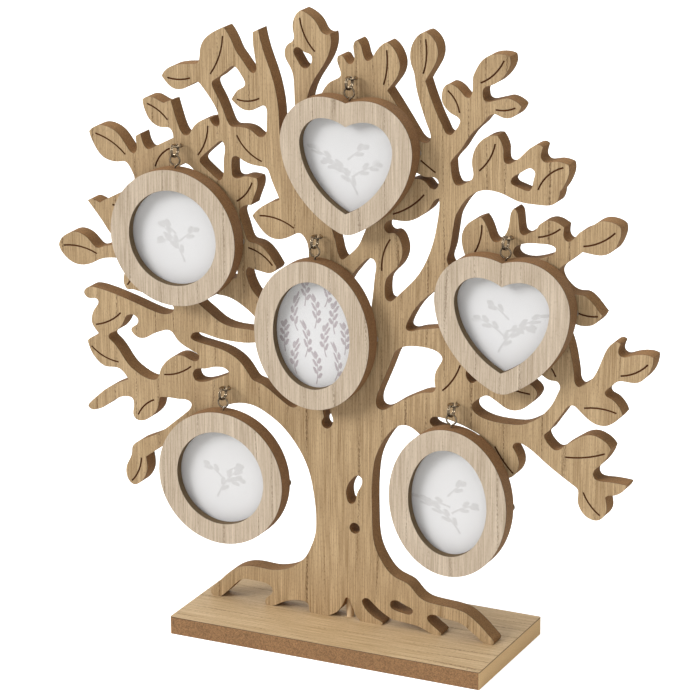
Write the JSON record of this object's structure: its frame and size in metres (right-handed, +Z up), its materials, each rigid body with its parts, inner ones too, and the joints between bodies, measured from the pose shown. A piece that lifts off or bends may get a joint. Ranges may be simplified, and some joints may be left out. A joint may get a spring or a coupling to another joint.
{
  "type": "photo tree stand",
  "caption": "Fretted wooden tree on a flat rectangular foot, with small round, oval and heart-shaped picture frames hanging from wire eyes in its boughs.",
  "frame": {"origin": "centre of the foot's underside", "axes": "+Z up, +Y from the picture side towards the plain back, +X to the viewer's right"},
  "size_m": [0.4162, 0.102, 0.4134],
  "materials": {
    "board": "bare fibreboard edge, matte brown",
    "tree_veneer": "open-pored wood veneer, matte, grain upright",
    "frame_veneer": "open-pored wood veneer, matte, washed paler, grain upright",
    "foot_veneer": "open-pored wood veneer, matte, grain along the foot",
    "dowel_wood": "bare beech, matte",
    "screw_steel": "zinc-plated steel",
    "eye_metal": "antique nickel-plated wire",
    "ring_metal": "antique nickel-plated wire",
    "button_metal": "bronzed sheet steel",
    "glazing": "clear, glossy",
    "card": "smooth printed card, matte"
  },
  "bodies": {
    "stand": {"foot_board": "board", "foot_veneer": "foot_veneer", "trunk_dowel": "dowel_wood", "base_screws": "screw_steel", "tree_board": "board", "tree_front_veneer": "tree_veneer", "tree_back_veneer": "tree_veneer", "tree_eyes": "eye_metal"},
    "top_left_link": {"top_left_ring": "ring_metal"},
    "top_left_picture": {"top_left_frame": "board", "top_left_veneer": "frame_veneer", "top_left_glazing": "glazing", "top_left_card": "card", "top_left_backing": "board", "top_left_fittings": "eye_metal"},
    "top_left_turn_button": {"top_left_button": "button_metal"},
    "middle_link": {"middle_ring": "ring_metal"},
    "middle_picture": {"middle_frame": "board", "middle_veneer": "frame_veneer", "middle_glazing": "glazing", "middle_card": "card", "middle_backing": "board", "middle_fittings": "eye_metal"},
    "middle_turn_button": {"middle_button": "button_metal"},
    "lower_left_link": {"lower_left_ring": "ring_metal"},
    "lower_left_picture": {"lower_left_frame": "board", "lower_left_veneer": "frame_veneer", "lower_left_glazing": "glazing", "lower_left_card": "card", "lower_left_backing": "board", "lower_left_fittings": "eye_metal"},
    "lower_left_turn_button": {"lower_left_button": "button_metal"},
    "lower_right_link": {"lower_right_ring": "ring_metal"},
    "lower_right_picture": {"lower_right_frame": "board", "lower_right_veneer": "frame_veneer", "lower_right_glazing": "glazing", "lower_right_card": "card", "lower_right_backing": "board", "lower_right_fittings": "eye_metal"},
    "lower_right_turn_button": {"lower_right_button": "button_metal"},
    "top_heart_link": {"top_heart_ring": "ring_metal"},
    "top_heart_picture": {"top_heart_frame": "board", "top_heart_veneer": "frame_veneer", "top_heart_glazing": "glazing", "top_heart_card": "card", "top_heart_backing": "board", "top_heart_fittings": "eye_metal"},
    "top_heart_turn_button": {"top_heart_button": "button_metal"},
    "right_heart_link": {"right_heart_ring": "ring_metal"},
    "right_heart_picture": {"right_heart_frame": "board", "right_heart_veneer": "frame_veneer", "right_heart_glazing": "glazing", "right_heart_card": "card", "right_heart_backing": "board", "right_heart_fittings": "eye_metal"},
    "right_heart_turn_button": {"right_heart_button": "button_metal"}
  },
  "joints": [
    {"name": "top_left_swing_out", "type": "hinge", "parent": "stand", "child": "top_left_link", "pos_m": [-0.1197, -0.0142, 0.31874], "axis": [-1, 0, 0], "range_deg": [0, 60]},
    {"name": "top_left_sway", "type": "hinge", "parent": "top_left_link", "child": "top_left_picture", "pos_m": [-0.1197, -0.0142, 0.31214], "axis": [0, 1, 0], "range_deg": [-12, 12]},
    {"name": "top_left_button_turn", "type": "hinge", "parent": "top_left_picture", "child": "top_left_turn_button", "pos_m": [-0.07945, -0.008, 0.25964], "axis": [0, 1, 0], "range_deg": [-90, 90]},
    {"name": "middle_swing_out", "type": "hinge", "parent": "stand", "child": "middle_link", "pos_m": [-0.021, -0.0142, 0.27015], "axis": [-1, 0, 0], "range_deg": [0, 60]},
    {"name": "middle_sway", "type": "hinge", "parent": "middle_link", "child": "middle_picture", "pos_m": [-0.021, -0.0142, 0.26355], "axis": [0, 1, 0], "range_deg": [-12, 12]},
    {"name": "middle_button_turn", "type": "hinge", "parent": "middle_picture", "child": "middle_turn_button", "pos_m": [0.01475, -0.008, 0.20705], "axis": [0, 1, 0], "range_deg": [-90, 90]},
    {"name": "lower_left_swing_out", "type": "hinge", "parent": "stand", "child": "lower_left_link", "pos_m": [-0.08778, -0.0142, 0.16016], "axis": [-1, 0, 0], "range_deg": [0, 60]},
    {"name": "lower_left_sway", "type": "hinge", "parent": "lower_left_link", "child": "lower_left_picture", "pos_m": [-0.08778, -0.0142, 0.15356], "axis": [0, 1, 0], "range_deg": [-12, 12]},
    {"name": "lower_left_button_turn", "type": "hinge", "parent": "lower_left_picture", "child": "lower_left_turn_button", "pos_m": [-0.04753, -0.008, 0.10106], "axis": [0, 1, 0], "range_deg": [-90, 90]},
    {"name": "lower_right_swing_out", "type": "hinge", "parent": "stand", "child": "lower_right_link", "pos_m": [0.07371, -0.0142, 0.17182], "axis": [-1, 0, 0], "range_deg": [0, 60]},
    {"name": "lower_right_sway", "type": "hinge", "parent": "lower_right_link", "child": "lower_right_picture", "pos_m": [0.07371, -0.0142, 0.16522], "axis": [0, 1, 0], "range_deg": [-12, 12]},
    {"name": "lower_right_button_turn", "type": "hinge", "parent": "lower_right_picture", "child": "lower_right_turn_button", "pos_m": [0.10946, -0.008, 0.10872], "axis": [0, 1, 0], "range_deg": [-90, 90]},
    {"name": "top_heart_swing_out", "type": "hinge", "parent": "stand", "child": "top_heart_link", "pos_m": [0.00357, -0.0142, 0.37495], "axis": [-1, 0, 0], "range_deg": [0, 60]},
    {"name": "top_heart_sway", "type": "hinge", "parent": "top_heart_link", "child": "top_heart_picture", "pos_m": [0.00357, -0.0142, 0.36835], "axis": [0, 1, 0], "range_deg": [-12, 12]},
    {"name": "top_heart_button_turn", "type": "hinge", "parent": "top_heart_picture", "child": "top_heart_turn_button", "pos_m": [0.04412, -0.008, 0.33149], "axis": [0, 1, 0], "range_deg": [-90, 90]},
    {"name": "right_heart_swing_out", "type": "hinge", "parent": "stand", "child": "right_heart_link", "pos_m": [0.10941, -0.0142, 0.28508], "axis": [-1, 0, 0], "range_deg": [0, 60]},
    {"name": "right_heart_sway", "type": "hinge", "parent": "right_heart_link", "child": "right_heart_picture", "pos_m": [0.10941, -0.0142, 0.27848], "axis": [0, 1, 0], "range_deg": [-12, 12]},
    {"name": "right_heart_button_turn", "type": "hinge", "parent": "right_heart_picture", "child": "right_heart_turn_button", "pos_m": [0.14996, -0.008, 0.24163], "axis": [0, 1, 0], "range_deg": [-90, 90]}
  ]
}
